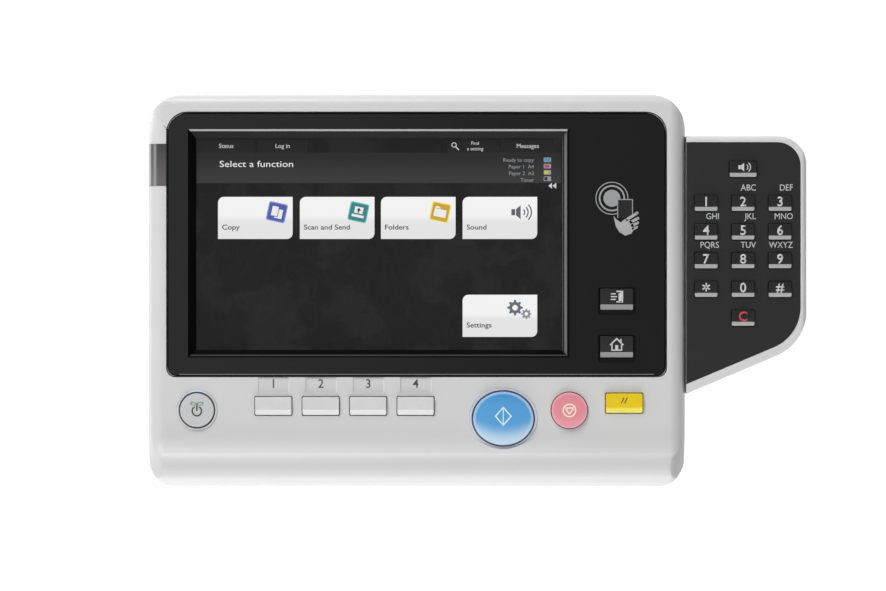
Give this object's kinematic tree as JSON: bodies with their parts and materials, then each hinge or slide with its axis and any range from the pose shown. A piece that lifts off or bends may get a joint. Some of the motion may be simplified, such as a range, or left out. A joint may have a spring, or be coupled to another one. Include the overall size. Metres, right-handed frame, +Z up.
{
  "type": "copier operator panel",
  "caption": "Tilting operator control panel of an office copier: touch display in a grey housing with hard keys, a numeric keypad wing and a friction-hinge mounting bracket.",
  "frame": {"origin": "centre of the four mounting bolts on the bracket's flat rear face", "axes": "+Y out of the rear face into the machine, so the panel's face looks along -Y; +X to the right seen from the front; +Z up"},
  "size_m": [0.3568, 0.071, 0.212],
  "materials": {
    "zinc_steel": "zinc plated sheet",
    "bright_steel": "bright plated",
    "friction_pad": "matt friction compound",
    "black_screws": "blackened",
    "housing_grey": "fine satin moulding",
    "rear_grey": "fine matt moulding",
    "gloss_black": "polished",
    "gasket_foam": "closed-cell foam",
    "screen_glass": "polished",
    "display_cell": "smooth",
    "light_guide": "clear acrylic",
    "tray_steel": "tinned sheet",
    "circuit_board": "solder resist",
    "switch_plastic": "moulded",
    "ribbon_film": "polyimide film",
    "smoked_lens": "translucent smoked",
    "light_ring": "translucent",
    "inlet_rubber": "matt",
    "keypad_rubber": "silicone",
    "key_silver": "satin",
    "key_grey": "satin",
    "key_blue": "translucent blue",
    "key_pink": "satin",
    "key_yellow": "satin",
    "key_black": "satin gloss"
  },
  "bodies": {
    "bracket": {"mount_bracket": "zinc_steel", "hinge_pins": "bright_steel", "friction_washers": "friction_pad", "disc_springs": "bright_steel", "hinge_nuts": "bright_steel"},
    "panel": {"hinge_leaves": "zinc_steel", "hinge_screws": "black_screws", "front_cover": "housing_grey", "rear_cover": "rear_grey", "display_bezel": "gloss_black", "window_gasket": "gasket_foam", "touch_glass": "screen_glass", "lcd_cell": "display_cell", "backlight_plate": "light_guide", "lcd_frame": "tray_steel", "lcd_bracket": "tray_steel", "main_board": "circuit_board", "key_board": "circuit_board", "key_switches": "switch_plastic", "lcd_ribbon": "ribbon_film", "keypad_ribbon": "ribbon_film", "status_lamp_lens": "smoked_lens", "lamp_board": "circuit_board", "nfc_antenna": "circuit_board", "speaker": "switch_plastic", "start_ring": "light_ring", "power_ring": "light_ring", "case_screws": "black_screws", "cable_grommet": "inlet_rubber", "keypad_case": "housing_grey", "keypad_rear_cover": "rear_grey", "keypad_faceplate": "gloss_black", "keypad_mat": "keypad_rubber", "keypad_board": "circuit_board", "keypad_bracket": "tray_steel", "keypad_screws": "black_screws"},
    "power_key_body": {"power_key": "key_silver"},
    "function_key_1_body": {"function_key_1": "key_grey"},
    "function_key_2_body": {"function_key_2": "key_grey"},
    "function_key_3_body": {"function_key_3": "key_grey"},
    "function_key_4_body": {"function_key_4": "key_grey"},
    "start_key_body": {"start_key": "key_blue"},
    "stop_key_body": {"stop_key": "key_pink"},
    "reset_key_body": {"reset_key": "key_yellow"},
    "access_key_body": {"access_key": "key_black"},
    "home_key_body": {"home_key": "key_black"},
    "key_1_body": {"key_1": "key_black"},
    "key_2_body": {"key_2": "key_black"},
    "key_3_body": {"key_3": "key_black"},
    "key_4_body": {"key_4": "key_black"},
    "key_5_body": {"key_5": "key_black"},
    "key_6_body": {"key_6": "key_black"},
    "key_7_body": {"key_7": "key_black"},
    "key_8_body": {"key_8": "key_black"},
    "key_9_body": {"key_9": "key_black"},
    "key_0_body": {"key_0": "key_black"},
    "key_star_body": {"key_star": "key_black"},
    "key_hash_body": {"key_hash": "key_black"},
    "key_clear_body": {"key_clear": "key_black"},
    "key_sound_body": {"key_sound": "key_black"}
  },
  "joints": [
    {"name": "panel_tilt", "type": "hinge", "parent": "bracket", "child": "panel", "pos_m": [0, -0.02, 0.086], "axis": [-1, 0, 0], "range_deg": [0, 65]},
    {"name": "power_key_press", "type": "slide", "parent": "panel", "child": "power_key_body", "axis": [0, 1, 0], "range_m": [0, 0.0012], "stiffness_N_per_m": 1500, "springref_m": -0.0004},
    {"name": "function_key_1_press", "type": "slide", "parent": "panel", "child": "function_key_1_body", "axis": [0, 1, 0], "range_m": [0, 0.0012], "stiffness_N_per_m": 1500, "springref_m": -0.0004},
    {"name": "function_key_2_press", "type": "slide", "parent": "panel", "child": "function_key_2_body", "axis": [0, 1, 0], "range_m": [0, 0.0012], "stiffness_N_per_m": 1500, "springref_m": -0.0004},
    {"name": "function_key_3_press", "type": "slide", "parent": "panel", "child": "function_key_3_body", "axis": [0, 1, 0], "range_m": [0, 0.0012], "stiffness_N_per_m": 1500, "springref_m": -0.0004},
    {"name": "function_key_4_press", "type": "slide", "parent": "panel", "child": "function_key_4_body", "axis": [0, 1, 0], "range_m": [0, 0.0012], "stiffness_N_per_m": 1500, "springref_m": -0.0004},
    {"name": "start_key_press", "type": "slide", "parent": "panel", "child": "start_key_body", "axis": [0, 1, 0], "range_m": [0, 0.0012], "stiffness_N_per_m": 1500, "springref_m": -0.0004},
    {"name": "stop_key_press", "type": "slide", "parent": "panel", "child": "stop_key_body", "axis": [0, 1, 0], "range_m": [0, 0.0012], "stiffness_N_per_m": 1500, "springref_m": -0.0004},
    {"name": "reset_key_press", "type": "slide", "parent": "panel", "child": "reset_key_body", "axis": [0, 1, 0], "range_m": [0, 0.0012], "stiffness_N_per_m": 1500, "springref_m": -0.0004},
    {"name": "access_key_press", "type": "slide", "parent": "panel", "child": "access_key_body", "axis": [0, 1, 0], "range_m": [0, 0.0012], "stiffness_N_per_m": 1500, "springref_m": -0.0004},
    {"name": "home_key_press", "type": "slide", "parent": "panel", "child": "home_key_body", "axis": [0, 1, 0], "range_m": [0, 0.0012], "stiffness_N_per_m": 1500, "springref_m": -0.0004},
    {"name": "key_1_press", "type": "slide", "parent": "panel", "child": "key_1_body", "axis": [0, 1, 0], "range_m": [0, 0.001], "stiffness_N_per_m": 1200, "springref_m": -0.0004},
    {"name": "key_2_press", "type": "slide", "parent": "panel", "child": "key_2_body", "axis": [0, 1, 0], "range_m": [0, 0.001], "stiffness_N_per_m": 1200, "springref_m": -0.0004},
    {"name": "key_3_press", "type": "slide", "parent": "panel", "child": "key_3_body", "axis": [0, 1, 0], "range_m": [0, 0.001], "stiffness_N_per_m": 1200, "springref_m": -0.0004},
    {"name": "key_4_press", "type": "slide", "parent": "panel", "child": "key_4_body", "axis": [0, 1, 0], "range_m": [0, 0.001], "stiffness_N_per_m": 1200, "springref_m": -0.0004},
    {"name": "key_5_press", "type": "slide", "parent": "panel", "child": "key_5_body", "axis": [0, 1, 0], "range_m": [0, 0.001], "stiffness_N_per_m": 1200, "springref_m": -0.0004},
    {"name": "key_6_press", "type": "slide", "parent": "panel", "child": "key_6_body", "axis": [0, 1, 0], "range_m": [0, 0.001], "stiffness_N_per_m": 1200, "springref_m": -0.0004},
    {"name": "key_7_press", "type": "slide", "parent": "panel", "child": "key_7_body", "axis": [0, 1, 0], "range_m": [0, 0.001], "stiffness_N_per_m": 1200, "springref_m": -0.0004},
    {"name": "key_8_press", "type": "slide", "parent": "panel", "child": "key_8_body", "axis": [0, 1, 0], "range_m": [0, 0.001], "stiffness_N_per_m": 1200, "springref_m": -0.0004},
    {"name": "key_9_press", "type": "slide", "parent": "panel", "child": "key_9_body", "axis": [0, 1, 0], "range_m": [0, 0.001], "stiffness_N_per_m": 1200, "springref_m": -0.0004},
    {"name": "key_0_press", "type": "slide", "parent": "panel", "child": "key_0_body", "axis": [0, 1, 0], "range_m": [0, 0.001], "stiffness_N_per_m": 1200, "springref_m": -0.0004},
    {"name": "key_star_press", "type": "slide", "parent": "panel", "child": "key_star_body", "axis": [0, 1, 0], "range_m": [0, 0.001], "stiffness_N_per_m": 1200, "springref_m": -0.0004},
    {"name": "key_hash_press", "type": "slide", "parent": "panel", "child": "key_hash_body", "axis": [0, 1, 0], "range_m": [0, 0.001], "stiffness_N_per_m": 1200, "springref_m": -0.0004},
    {"name": "key_clear_press", "type": "slide", "parent": "panel", "child": "key_clear_body", "axis": [0, 1, 0], "range_m": [0, 0.001], "stiffness_N_per_m": 1200, "springref_m": -0.0004},
    {"name": "key_sound_press", "type": "slide", "parent": "panel", "child": "key_sound_body", "axis": [0, 1, 0], "range_m": [0, 0.001], "stiffness_N_per_m": 1200, "springref_m": -0.0004}
  ]
}
